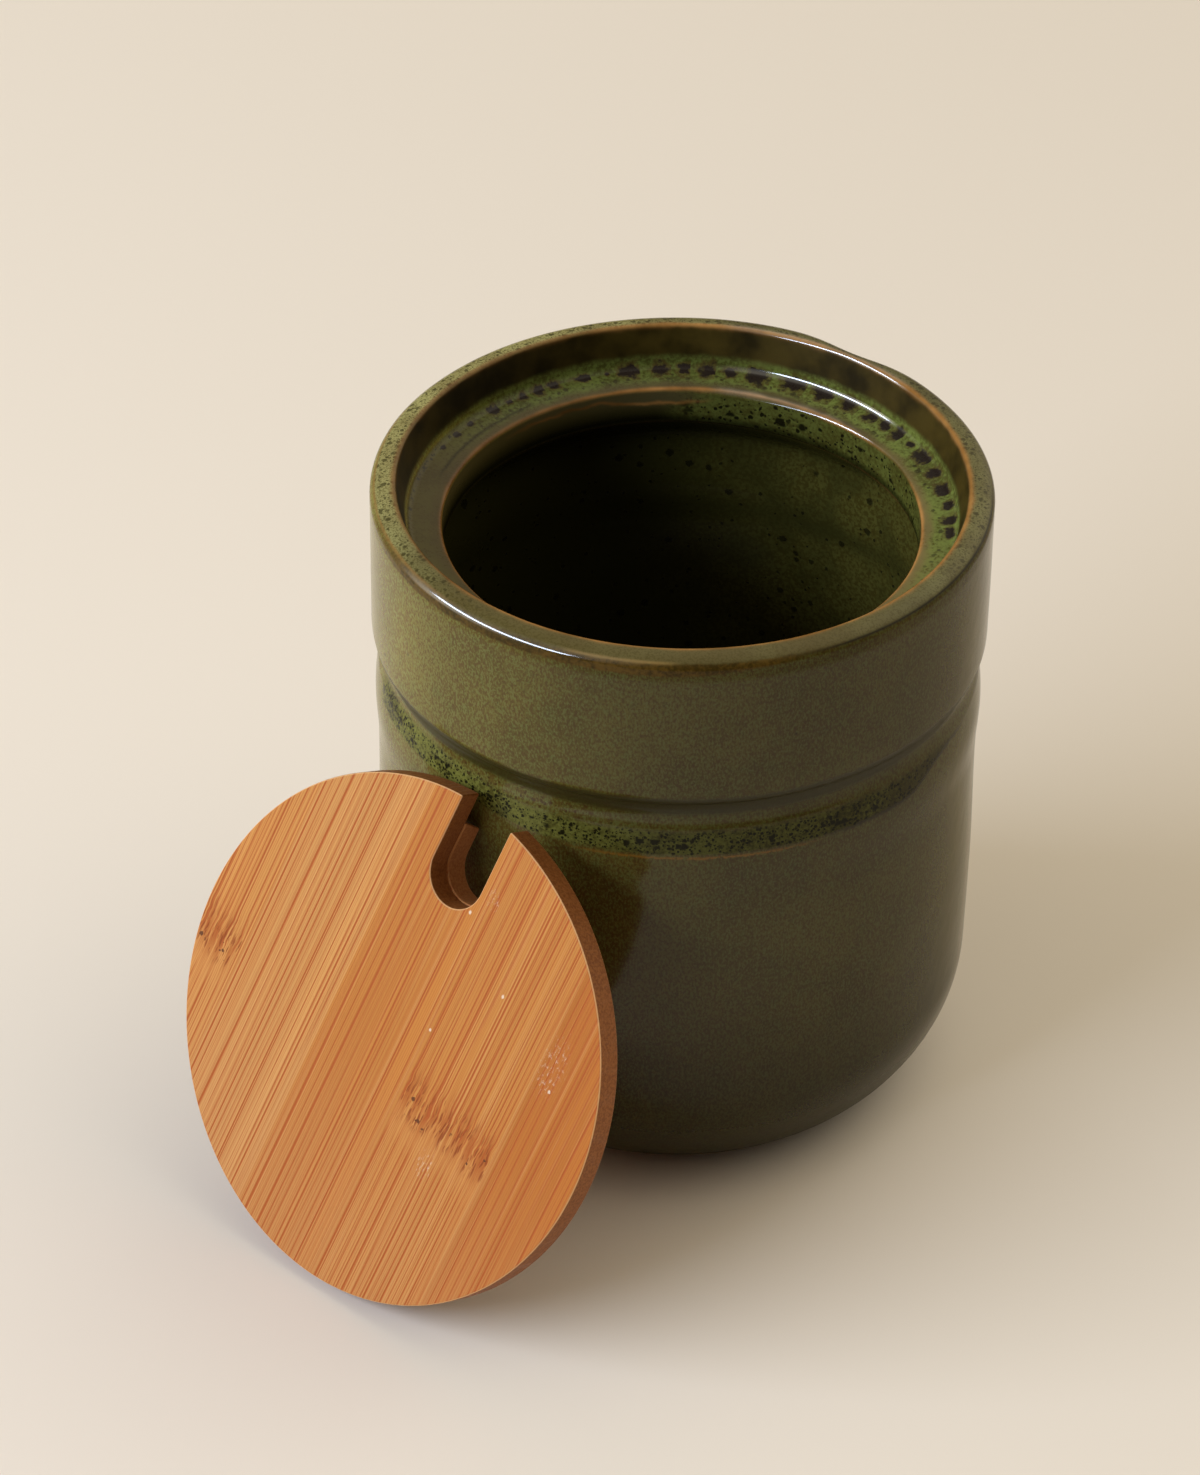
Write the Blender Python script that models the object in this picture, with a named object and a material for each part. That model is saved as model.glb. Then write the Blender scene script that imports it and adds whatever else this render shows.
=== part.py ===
# Stoneware storage jar with a two-layer bamboo lid.
# The jar stands on the floor on its own axis, and the lid is off: it stands on its lower edge
# and leans on the shoulder of the jar. All sizes are in metres, +Z is up, and the origin is on
# the jar's axis at floor level.

import math

import bmesh
import bpy
from mathutils import Matrix, Vector

# Jar: foot and underside
foot_radius = 0.0411
foot_ring_width = 0.0060
foot_edge_rounding = 0.0006
recess_depth = 0.0008
recess_slope = 0.0012

# Jar: outside. An inset lies that far inside the face of the collar band round the top, and
# the heights below the rim follow one another downwards
jar_height = 0.1260
band_radius = 0.0570
band_width = 0.0315
band_edge_inset = 0.0010
band_edge_height = 0.0022
groove_width = 0.0065
groove_hollow = 0.0009
lip_inset = 0.0012
lip_height = 0.0068
shoulder_inset = 0.00055
shoulder_height = 0.0092
waist_inset = 0.0010
belly_inset = 0.00075
heel_inset = 0.0010
corner_height = 0.0262

# Jar: rim and the stepped gallery that the lid sits in, from the outside in
crown_width = 0.0039
crown_height = 0.0022
rim_width = 0.0047
rim_edge_rounding = 0.0009
gallery_depth = 0.0080
gallery_taper = 0.0021
gallery_fillet = 0.0018
ledge_width = 0.0064
ledge_drop = 0.0010
neck_edge_rounding = 0.0009
neck_length = 0.0072

# Jar: inside below the neck
wall_thickness = 0.0042
undercut_height = 0.0080
inner_ridge = 0.0009
inner_corner_radius = 0.0200
floor_thickness = 0.0060

# Jar: the shallow thumb dent in the outer edge of its rim, at the back
dent_depth = 0.0018
dent_bearing = math.radians(95.3)
dent_spread = math.radians(8.0)
dent_reach = 0.0070

# Lid: a bamboo plate with a smaller bamboo plug glued under it, and a spoon slot through both
plate_clearance = 0.0015
plate_thickness = 0.0050
plug_clearance = 0.0015
plug_thickness = 0.0048
plug_taper = 0.0015
glue_line = 0.0002
edge_chamfer = 0.00035
slot_width = 0.0123
slot_depth = 0.0199
slot_off_centre = 0.0019
slot_step = 0.0005
cut_overrun = 0.0040

# Lid: how it leans beside the jar
lean_angle = math.radians(24.7)
lid_turn = math.radians(9.6)
lid_side_offset = 0.0034
lean_gap = 0.0003

# Facets round the jar, the lid and the end of its slot, and along the curves of the outlines
jar_facets = 80
lid_facets = 120
slot_facets = 24
curve_steps = 5
fine_steps = 3
weld_distance = 0.00001


def clear_scene():
    for thing in list(bpy.data.objects):
        bpy.data.objects.remove(thing, do_unlink=True)


def new_material(name, colour, roughness, metallic):
    material = bpy.data.materials.new(name)
    material.use_nodes = True
    shader = material.node_tree.nodes["Principled BSDF"]
    shader.inputs["Base Color"].default_value = (*colour, 1.0)
    shader.inputs["Roughness"].default_value = roughness
    shader.inputs["Metallic"].default_value = metallic
    return material


def arc(centre, radii, start, end, steps):
    """Points (r, z) along an arc or an oval arc, angles in radians from the outward way."""
    points = []
    for i in range(steps + 1):
        angle = start + (end - start) * i / steps
        points.append((centre[0] + radii[0] * math.cos(angle),
                       centre[1] + radii[1] * math.sin(angle)))
    return points


def swell(start, end, steps):
    """Points (r, z) of an easy curve that is upright at both of its ends."""
    points = []
    for i in range(steps + 1):
        share = i / steps
        ease = (1.0 - math.cos(math.pi * share)) / 2.0
        points.append((start[0] + (end[0] - start[0]) * ease,
                       start[1] + (end[1] - start[1]) * share))
    return points


def bow(start, end, steps):
    """Points (r, z) of a curve that is upright at its start and leans over towards its end."""
    points = []
    for i in range(steps + 1):
        share = i / steps
        ease = 1.0 - math.cos(math.pi * share / 2.0)
        points.append((start[0] + (end[0] - start[0]) * ease,
                       start[1] + (end[1] - start[1]) * share))
    return points


def hollow(start, end, depth, steps):
    """Points (r, z) of a shallow groove between two edges of a wall."""
    points = []
    for i in range(steps + 1):
        share = i / steps
        points.append((start[0] + (end[0] - start[0]) * share - depth * math.sin(math.pi * share),
                       start[1] + (end[1] - start[1]) * share))
    return points


def fillet(before, tip, after, radius, steps):
    """Points (r, z) of the rounding where two straight runs meet at a tip."""
    tip_point = Vector(tip)
    way_back = (Vector(before) - tip_point).normalized()
    way_on = (Vector(after) - tip_point).normalized()
    half_angle = way_back.angle(way_on) / 2.0
    centre = tip_point + (way_back + way_on).normalized() * (radius / math.sin(half_angle))
    start = tip_point + way_back * (radius / math.tan(half_angle)) - centre
    end = tip_point + way_on * (radius / math.tan(half_angle)) - centre
    start_angle = math.atan2(start.y, start.x)
    turn = math.remainder(math.atan2(end.y, end.x) - start_angle, 2.0 * math.pi)
    return arc(centre, (radius, radius), start_angle, start_angle + turn, steps)


def heel_radius():
    return band_radius - heel_inset


def rim_inner_radius():
    return band_radius - rim_width


def gallery_radius():
    """The gallery's wall narrows downwards, and this is its radius where it meets the ledge."""
    return rim_inner_radius() - gallery_taper


def neck_radius():
    return gallery_radius() - ledge_width


def plate_radius():
    return gallery_radius() - plate_clearance


def plug_radius():
    return neck_radius() - plug_clearance


def groove_middle_height():
    return jar_height - band_width - groove_width / 2.0


def foot_outline():
    """The underside from its middle outwards: a shallow recess, then the ring it stands on,
    then the big round corner up to the wall."""
    ring_inner = foot_radius - foot_ring_width
    inset = heel_radius() - foot_radius
    corner_radius = (inset ** 2 + corner_height ** 2) / (2.0 * inset)
    centre = (heel_radius() - corner_radius, corner_height)
    foot_angle = math.atan2(-corner_height, foot_radius - centre[0])
    wall = arc(centre, (corner_radius, corner_radius), foot_angle, 0.0, 2 * curve_steps)
    line = [(0.0, recess_depth), (ring_inner - recess_slope, recess_depth), (ring_inner, 0.0)]
    line += fillet((ring_inner, 0.0), (foot_radius, 0.0), wall[1], foot_edge_rounding, fine_steps)
    return line + wall[1:]


def outside_outline():
    """The outer wall upwards: a faint belly and waist, the shoulder, the lip with the groove
    over it, and the rounded lower edge of the collar band."""
    band_edge = (band_radius - band_edge_inset, jar_height - band_width)
    lip = (band_radius - lip_inset, band_edge[1] - groove_width)
    shoulder = (band_radius - shoulder_inset, lip[1] - lip_height)
    waist = (band_radius - waist_inset, shoulder[1] - shoulder_height)
    belly = (band_radius - belly_inset, (waist[1] + corner_height) / 2.0)
    line = swell((heel_radius(), corner_height), belly, fine_steps)[1:]
    line += swell(belly, waist, fine_steps)[1:]
    line += swell(waist, shoulder, fine_steps)[1:]
    line += bow(shoulder, lip, fine_steps)[1:]
    line += hollow(lip, band_edge, groove_hollow, curve_steps + 1)[1:]
    line += arc((band_edge[0], band_edge[1] + band_edge_height),
                (band_edge_inset, band_edge_height), -math.pi / 2.0, 0.0, fine_steps)[1:]
    return line


def rim_outline():
    """Over the rim, whose top falls away in an easy curve to the face of the band, then down
    the gallery's wall and over its ledge, and down through the neck."""
    crown = (band_radius - crown_width, jar_height - crown_height)
    line = arc(crown, (crown_width, crown_height), 0.0, math.pi / 2.0, curve_steps)
    rim_edge = (rim_inner_radius(), jar_height)
    ledge_outer = (gallery_radius(), jar_height - gallery_depth)
    ledge_inner = (neck_radius(), ledge_outer[1] - ledge_drop)
    neck_foot = (neck_radius(), ledge_inner[1] - neck_length)
    undercut_foot = (heel_radius() - wall_thickness, neck_foot[1] - undercut_height)
    line += fillet(line[-1], rim_edge, ledge_outer, rim_edge_rounding, fine_steps)
    line += fillet(rim_edge, ledge_outer, ledge_inner, gallery_fillet, curve_steps)
    line += fillet(ledge_outer, ledge_inner, neck_foot, neck_edge_rounding, fine_steps)
    line += fillet(ledge_inner, neck_foot, undercut_foot, neck_edge_rounding, fine_steps)
    return line


def inside_outline():
    """The inside below the neck: undercut, a soft ridge behind the groove, wall and floor."""
    inner_radius = heel_radius() - wall_thickness
    ledge_inner_height = jar_height - gallery_depth - ledge_drop
    top = (inner_radius, ledge_inner_height - neck_length - undercut_height)
    ridge = (inner_radius - inner_ridge, groove_middle_height())
    foot = (inner_radius, 2.0 * ridge[1] - top[1])
    line = swell(top, ridge, fine_steps)
    line += swell(ridge, foot, fine_steps)[1:]
    line += arc((inner_radius - inner_corner_radius, floor_thickness + inner_corner_radius),
                (inner_corner_radius, inner_corner_radius), 0.0, -math.pi / 2.0, curve_steps)
    line.append((0.0, floor_thickness))
    return line


def dent_share(bearing, r, z):
    """How much of the thumb dent a point of the rim takes: all of it at the outer edge in the
    middle of the dent, and none inside the rim or further round."""
    off = math.remainder(bearing - dent_bearing, 2.0 * math.pi)
    round_share = math.exp(-(off / dent_spread) ** 2)
    down_share = math.exp(-((jar_height - z) / dent_reach) ** 2)
    out_share = min(1.0, max(0.0, (r - rim_inner_radius()) / rim_width))
    return round_share * down_share * out_share


def build_jar(material):
    """Turns the outline about the jar's axis, and presses the dent into the rim."""
    bm = bmesh.new()
    line = foot_outline() + outside_outline() + rim_outline() + inside_outline()
    verts = [bm.verts.new((r, 0.0, z)) for r, z in line]
    edges = [bm.edges.new(pair) for pair in zip(verts, verts[1:])]
    bmesh.ops.spin(bm, geom=verts + edges, cent=(0.0, 0.0, 0.0), axis=(0.0, 0.0, 1.0),
                   angle=2.0 * math.pi, steps=jar_facets, use_merge=True, use_duplicate=False)
    bmesh.ops.remove_doubles(bm, verts=bm.verts, dist=weld_distance)
    for vert in bm.verts:
        r = math.hypot(vert.co.x, vert.co.y)
        share = dent_share(math.atan2(vert.co.y, vert.co.x), r, vert.co.z)
        if share > 0.0:
            inward = 1.0 - dent_depth * share / r
            vert.co.x *= inward
            vert.co.y *= inward
    bmesh.ops.recalc_face_normals(bm, faces=bm.faces)
    mesh = bpy.data.meshes.new("jar_body")
    bm.to_mesh(mesh)
    bm.free()
    mesh.shade_smooth()
    mesh.set_sharp_from_angle(angle=math.radians(50.0))
    mesh.materials.append(material)
    jar = bpy.data.objects.new("jar_body", mesh)
    bpy.context.collection.objects.link(jar)


def lid_place():
    """Where the middle of the lid's top face is, and how it is turned: the lower back edge of
    the plate is on the floor, and the upper back edge of the plug is against the shoulder."""
    lid_depth = plate_thickness + glue_line + plug_thickness
    plug_end_radius = plug_radius() - plug_taper
    up = Vector((0.0, math.sin(lean_angle), math.cos(lean_angle)))
    outward = Vector((0.0, -math.cos(lean_angle), math.sin(lean_angle)))
    touch_radius = band_radius - shoulder_inset + lean_gap
    touch_y = -math.sqrt(touch_radius ** 2 - lid_side_offset ** 2)
    centre_y = touch_y - (plug_end_radius - edge_chamfer) * up.y + lid_depth * outward.y
    centre_z = plate_radius() * up.z + (plate_thickness - edge_chamfer) * outward.z
    tilt = Matrix.Rotation(math.pi / 2.0 - lean_angle, 4, 'X')
    turn = Matrix.Rotation(-lid_turn, 4, 'Z')
    return Matrix.Translation((lid_side_offset, centre_y, centre_z)) @ tilt @ turn


def round_board(name, top_radius, bottom_radius, top_z, thickness):
    """A round board about the lid's axis, with its upper face at the given height."""
    bm = bmesh.new()
    bmesh.ops.create_cone(bm, cap_ends=True, segments=lid_facets, radius1=bottom_radius,
                          radius2=top_radius, depth=thickness,
                          matrix=Matrix.Translation((0.0, 0.0, top_z - thickness / 2.0)))
    mesh = bpy.data.meshes.new(name)
    bm.to_mesh(mesh)
    bm.free()
    board = bpy.data.objects.new(name, mesh)
    bpy.context.collection.objects.link(board)
    return board


def slot_cutter(name, half_width, top_z, thickness):
    """The spoon slot as a solid: it runs in from the plate's edge to a half-round end, and
    passes through the board on both sides."""
    mouth = plate_radius() + cut_overrun
    round_centre = plate_radius() - slot_depth + slot_width / 2.0
    outline = [(half_width, mouth), (-half_width, mouth)]
    outline += arc((0.0, round_centre), (half_width, half_width), math.pi, 2.0 * math.pi,
                   slot_facets)
    bm = bmesh.new()
    low = top_z - thickness - cut_overrun
    face = bm.faces.new([bm.verts.new((x - slot_off_centre, y, low)) for x, y in outline])
    body = bmesh.ops.extrude_face_region(bm, geom=[face])
    lifted = [item for item in body["geom"] if isinstance(item, bmesh.types.BMVert)]
    bmesh.ops.translate(bm, verts=lifted, vec=(0.0, 0.0, thickness + 2.0 * cut_overrun))
    bmesh.ops.recalc_face_normals(bm, faces=bm.faces)
    mesh = bpy.data.meshes.new(name)
    bm.to_mesh(mesh)
    bm.free()
    cutter = bpy.data.objects.new(name, mesh)
    cutter.hide_render = True
    cutter.display_type = 'WIRE'
    bpy.context.collection.objects.link(cutter)
    return cutter


def finish_board(board, cutter, frame, material):
    """Cuts the slot through a board and takes the sharpness off all its edges."""
    for thing in (board, cutter):
        thing.parent = frame
    cut = board.modifiers.new("slot", 'BOOLEAN')
    cut.operation = 'DIFFERENCE'
    cut.object = cutter
    ease = board.modifiers.new("chamfer", 'BEVEL')
    ease.width = edge_chamfer
    ease.segments = 1
    ease.limit_method = 'ANGLE'
    ease.angle_limit = math.radians(40.0)
    board.data.materials.append(material)
    board.data.shade_smooth()
    board.data.set_sharp_from_angle(angle=math.radians(30.0))


def build_plate(frame, material):
    """The upper board, which fills the gallery when the lid is on."""
    plate = round_board("lid_plate", plate_radius(), plate_radius(), 0.0, plate_thickness)
    cutter = slot_cutter("plate_slot", slot_width / 2.0, 0.0, plate_thickness)
    finish_board(plate, cutter, frame, material)


def build_plug(frame, material):
    """The lower board, which drops into the neck and narrows a little downwards."""
    top_z = -plate_thickness - glue_line
    plug = round_board("lid_plug", plug_radius(), plug_radius() - plug_taper, top_z,
                       plug_thickness)
    cutter = slot_cutter("plug_slot", slot_width / 2.0 - slot_step, top_z, plug_thickness)
    finish_board(plug, cutter, frame, material)


def build_lid(plate_material, plug_material):
    """Both boards in one lid frame: its origin is the middle of the lid's top face, and the
    slot runs out along its +Y."""
    frame = bpy.data.objects.new("lid_frame", None)
    frame.matrix_world = lid_place()
    bpy.context.collection.objects.link(frame)
    build_plate(frame, plate_material)
    build_plug(frame, plug_material)


clear_scene()
build_jar(new_material("olive_glaze", (0.080, 0.076, 0.038), 0.25, 0.0))
build_lid(new_material("plate_bamboo", (0.640, 0.285, 0.105), 0.50, 0.0),
          new_material("plug_bamboo", (0.560, 0.250, 0.095), 0.60, 0.0))
bpy.context.view_layer.update()
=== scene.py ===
import math

import bmesh
import bpy
from mathutils import Matrix, Vector, noise


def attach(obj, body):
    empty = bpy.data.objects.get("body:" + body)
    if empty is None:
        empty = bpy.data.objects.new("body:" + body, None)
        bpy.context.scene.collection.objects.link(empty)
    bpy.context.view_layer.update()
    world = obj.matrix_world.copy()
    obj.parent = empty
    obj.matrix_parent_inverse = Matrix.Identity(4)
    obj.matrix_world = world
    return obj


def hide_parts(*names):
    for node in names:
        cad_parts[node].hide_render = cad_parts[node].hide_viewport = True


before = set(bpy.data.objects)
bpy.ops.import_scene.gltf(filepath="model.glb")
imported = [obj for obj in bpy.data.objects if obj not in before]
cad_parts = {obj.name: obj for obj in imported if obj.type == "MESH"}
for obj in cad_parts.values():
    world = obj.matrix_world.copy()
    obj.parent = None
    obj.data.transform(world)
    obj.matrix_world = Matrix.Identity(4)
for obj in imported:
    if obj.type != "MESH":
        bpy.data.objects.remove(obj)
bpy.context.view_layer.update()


# The jar: a wide storage jar of stoneware, turned in one piece and fired with a thick olive
# glaze. The glaze thins to brown and orange on its edges, and pools green with dark specks in
# the gallery, in the neck and under the collar band.

foot_radius = 0.0411
foot_ring_width = 0.0060
foot_edge_rounding = 0.0006
recess_depth = 0.0008
recess_slope = 0.0012
jar_height = 0.1260
band_radius = 0.0570
band_width = 0.0315
band_edge_inset = 0.0010
band_edge_height = 0.0022
groove_width = 0.0065
groove_hollow = 0.0009
lip_inset = 0.0012
lip_height = 0.0068
shoulder_inset = 0.00055
shoulder_height = 0.0092
waist_inset = 0.0010
belly_inset = 0.00075
heel_inset = 0.0010
corner_height = 0.0262
crown_width = 0.0039
crown_height = 0.0022
rim_width = 0.0047
rim_edge_rounding = 0.0009
gallery_depth = 0.0080
gallery_taper = 0.0021
gallery_fillet = 0.0018
ledge_width = 0.0064
ledge_drop = 0.0010
neck_edge_rounding = 0.0009
neck_length = 0.0072
wall_thickness = 0.0042
undercut_height = 0.0080
inner_ridge = 0.0009
inner_corner_radius = 0.0200
floor_thickness = 0.0060
dent_depth = 0.0018
dent_bearing = math.radians(95.3)
dent_spread = math.radians(8.0)
dent_reach = 0.0070
neck_strays = ((math.radians(68.0), 0.0008), (math.radians(114.0), -0.0007))
neck_stray_spread = math.radians(17.0)
neck_stray_middle = 0.1145
neck_stray_height = 0.0045
neck_stray_width = 0.0040
firing_shrink = 0.00006
wave_scale = 42.0
wave_depth = 0.00009
ripple_scale = 130.0
ripple_depth = 0.00002
true_middle_radius = 0.0300
true_foot_height = 0.0020
merge_distance = 0.000004
jar_turn_steps = 360

heel_radius = band_radius - heel_inset
rim_inner_radius = band_radius - rim_width
gallery_radius = rim_inner_radius - gallery_taper
neck_radius = gallery_radius - ledge_width
inner_radius = heel_radius - wall_thickness
groove_middle = jar_height - band_width - groove_width / 2.0


def arc(centre, radii, start, end, steps):
    """Points (r, z) along an arc, angles in radians from the outward way."""
    points = []
    for i in range(steps + 1):
        angle = start + (end - start) * i / steps
        points.append((centre[0] + radii[0] * math.cos(angle),
                       centre[1] + radii[1] * math.sin(angle)))
    return points


def run(start, end, steps, ease, depth=0.0):
    """Points (r, z) from start to end. The radius follows the given easing, less a hollow."""
    points = []
    for i in range(1, steps + 1):
        share = i / steps
        r = start[0] + (end[0] - start[0]) * ease(share) - depth * math.sin(math.pi * share)
        points.append((r, start[1] + (end[1] - start[1]) * share))
    return points


def fillet(before, tip, after, radius, steps):
    """Points (r, z) of the rounding where two straight runs meet at a tip."""
    tip_point = Vector(tip)
    way_back = (Vector(before) - tip_point).normalized()
    way_on = (Vector(after) - tip_point).normalized()
    half_angle = way_back.angle(way_on) / 2.0
    centre = tip_point + (way_back + way_on).normalized() * (radius / math.sin(half_angle))
    start = tip_point + way_back * (radius / math.tan(half_angle)) - centre
    end = tip_point + way_on * (radius / math.tan(half_angle)) - centre
    start_angle = math.atan2(start.y, start.x)
    turn = math.remainder(math.atan2(end.y, end.x) - start_angle, 2.0 * math.pi)
    return arc(centre, (radius, radius), start_angle, start_angle + turn, steps)


def jar_outline():
    """The jar's half section, from the middle of the underside round to the inside floor."""
    def swell(share):
        return (1.0 - math.cos(math.pi * share)) / 2.0

    def bow(share):
        return 1.0 - math.cos(math.pi * share / 2.0)

    def even(share):
        return share

    ring_inner = foot_radius - foot_ring_width
    inset = heel_radius - foot_radius
    corner_radius = (inset ** 2 + corner_height ** 2) / (2.0 * inset)
    corner_centre = (heel_radius - corner_radius, corner_height)
    foot_angle = math.atan2(-corner_height, foot_radius - corner_centre[0])
    corner = arc(corner_centre, (corner_radius, corner_radius), foot_angle, 0.0, 28)
    line = [(0.0, recess_depth), (ring_inner - recess_slope, recess_depth), (ring_inner, 0.0)]
    line += fillet((ring_inner, 0.0), (foot_radius, 0.0), corner[1], foot_edge_rounding, 5)
    line += corner[2:]

    band_edge = (band_radius - band_edge_inset, jar_height - band_width)
    lip = (band_radius - lip_inset, band_edge[1] - groove_width)
    shoulder = (band_radius - shoulder_inset, lip[1] - lip_height)
    waist = (band_radius - waist_inset, shoulder[1] - shoulder_height)
    belly = (band_radius - belly_inset, (waist[1] + corner_height) / 2.0)
    line += run((heel_radius, corner_height), belly, 14, swell)
    line += run(belly, waist, 14, swell)
    line += run(waist, shoulder, 12, swell)
    line += run(shoulder, lip, 10, bow)
    line += run(lip, band_edge, 12, even, groove_hollow)
    line += arc((band_edge[0], band_edge[1] + band_edge_height),
                (band_edge_inset, band_edge_height), -math.pi / 2.0, 0.0, 8)[1:]

    crown = (band_radius - crown_width, jar_height - crown_height)
    line += run((band_radius, band_edge[1] + band_edge_height), (band_radius, crown[1]), 12, even)
    line += arc(crown, (crown_width, crown_height), 0.0, math.pi / 2.0, 16)[1:]
    rim_edge = (rim_inner_radius, jar_height)
    ledge_outer = (gallery_radius, jar_height - gallery_depth)
    ledge_inner = (neck_radius, ledge_outer[1] - ledge_drop)
    neck_foot = (neck_radius, ledge_inner[1] - neck_length)
    undercut_foot = (inner_radius, neck_foot[1] - undercut_height)
    line += fillet(line[-1], rim_edge, ledge_outer, rim_edge_rounding, 6)
    line += fillet(rim_edge, ledge_outer, ledge_inner, gallery_fillet, 8)
    line += fillet(ledge_outer, ledge_inner, neck_foot, neck_edge_rounding, 6)
    line += fillet(ledge_inner, neck_foot, undercut_foot, neck_edge_rounding, 6)

    ridge = (inner_radius - inner_ridge, groove_middle)
    foot = (inner_radius, 2.0 * ridge[1] - undercut_foot[1])
    line.append(undercut_foot)
    line += run(undercut_foot, ridge, 8, swell)
    line += run(ridge, foot, 8, swell)
    line += arc((inner_radius - inner_corner_radius, floor_thickness + inner_corner_radius),
                (inner_corner_radius, inner_corner_radius), 0.0, -math.pi / 2.0, 14)
    line.append((0.0, floor_thickness))
    return line


def dent_at(bearing, r, z):
    """How far the shallow thumb dent in the back of the rim moves a point inwards."""
    off = math.remainder(bearing - dent_bearing, 2.0 * math.pi)
    out_share = min(1.0, max(0.0, (r - rim_inner_radius) / rim_width))
    round_share = math.exp(-(off / dent_spread) ** 2)
    return dent_depth * out_share * round_share * math.exp(-((jar_height - z) / dent_reach) ** 2)


def neck_stray_at(bearing, r, z):
    """How far the neck's edge strays outwards at a place where it isn't quite round."""
    out = 0.0
    for middle, reach in neck_strays:
        off = math.remainder(bearing - middle, 2.0 * math.pi)
        out += reach * math.exp(-(off / neck_stray_spread) ** 2)
    near = max(0.0, 1.0 - abs(r - neck_radius) / neck_stray_width)
    return out * near * math.exp(-((z - neck_stray_middle) / neck_stray_height) ** 4)


def build_jar():
    """Turns the outline, and gives it the small unevenness of a wall that was fired thick."""
    bm = bmesh.new()
    verts = [bm.verts.new((r, 0.0, z)) for r, z in jar_outline()]
    edges = [bm.edges.new(pair) for pair in zip(verts, verts[1:])]
    bmesh.ops.spin(bm, geom=verts + edges, cent=(0.0, 0.0, 0.0), axis=(0.0, 0.0, 1.0),
                   angle=2.0 * math.pi, steps=jar_turn_steps, use_merge=True,
                   use_duplicate=False)
    bmesh.ops.remove_doubles(bm, verts=bm.verts, dist=merge_distance)
    for vert in bm.verts:
        r = math.hypot(vert.co.x, vert.co.y)
        if r < true_middle_radius or vert.co.z < true_foot_height:
            continue
        wave = (noise.noise(vert.co * wave_scale) * wave_depth
                + noise.noise(vert.co * ripple_scale) * ripple_depth)
        bearing = math.atan2(vert.co.y, vert.co.x)
        move = dent_at(bearing, r, vert.co.z) + firing_shrink + wave
        move -= neck_stray_at(bearing, r, vert.co.z)
        vert.co.x *= 1.0 - move / r
        vert.co.y *= 1.0 - move / r
    bmesh.ops.recalc_face_normals(bm, faces=bm.faces)
    mesh = bpy.data.meshes.new("glazed_jar")
    bm.to_mesh(mesh)
    bm.free()
    mesh.shade_smooth()
    made = bpy.data.objects.new("glazed_jar", mesh)
    bpy.context.collection.objects.link(made)
    return made


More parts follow.
